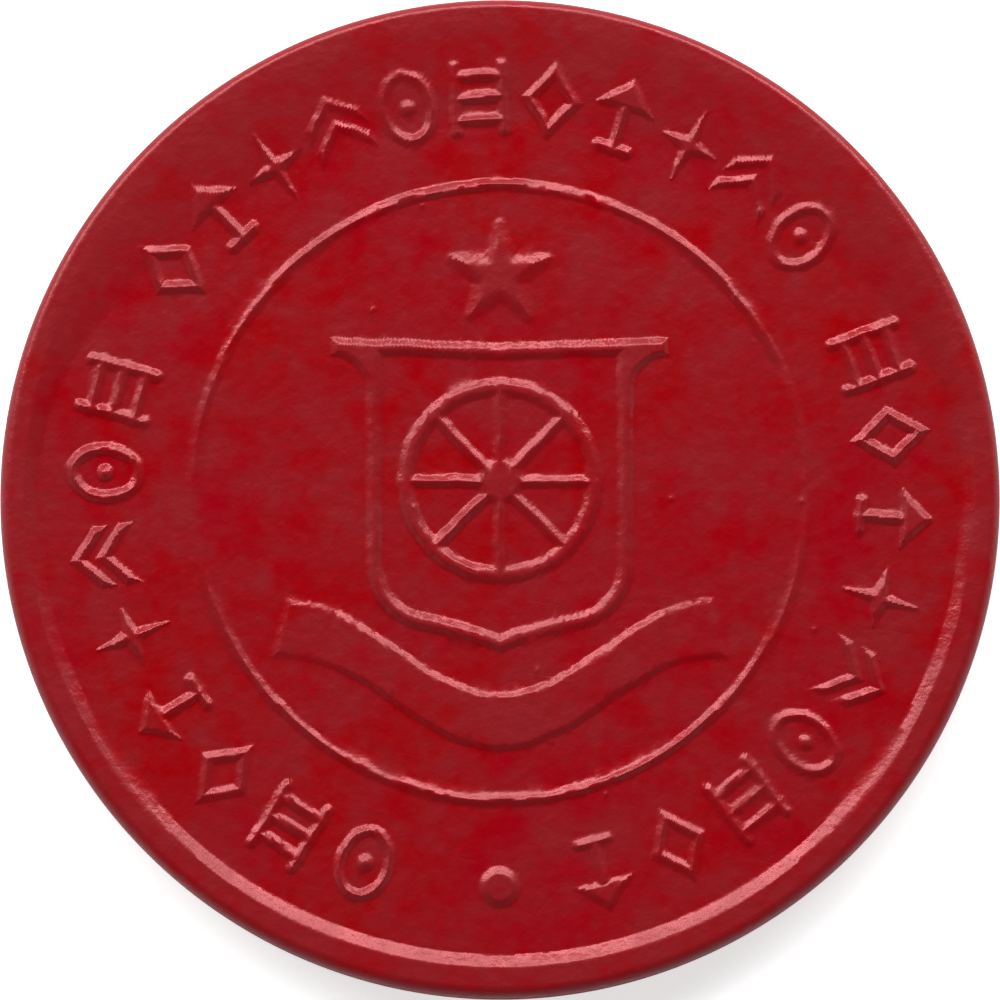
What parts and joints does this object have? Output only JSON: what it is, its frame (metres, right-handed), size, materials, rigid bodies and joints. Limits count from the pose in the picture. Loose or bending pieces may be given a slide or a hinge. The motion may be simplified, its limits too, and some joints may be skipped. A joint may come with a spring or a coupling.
{
  "type": "transit token",
  "caption": "Thin round moulded plastic fare token with a raised rim, a legend ring of plain signs, a thin circle, and a shield with a wheel over a blank scroll.",
  "frame": {"origin": "middle of the reverse rim's land, the flat ring that the token rests on", "axes": "+Z out of the obverse, +Y towards the top of the obverse design, +X to its right"},
  "size_m": [0.023, 0.023, 0.0016],
  "materials": {
    "red_plastic": "satin"
  },
  "bodies": {
    "root": {"token": "red_plastic"}
  },
  "joints": []
}
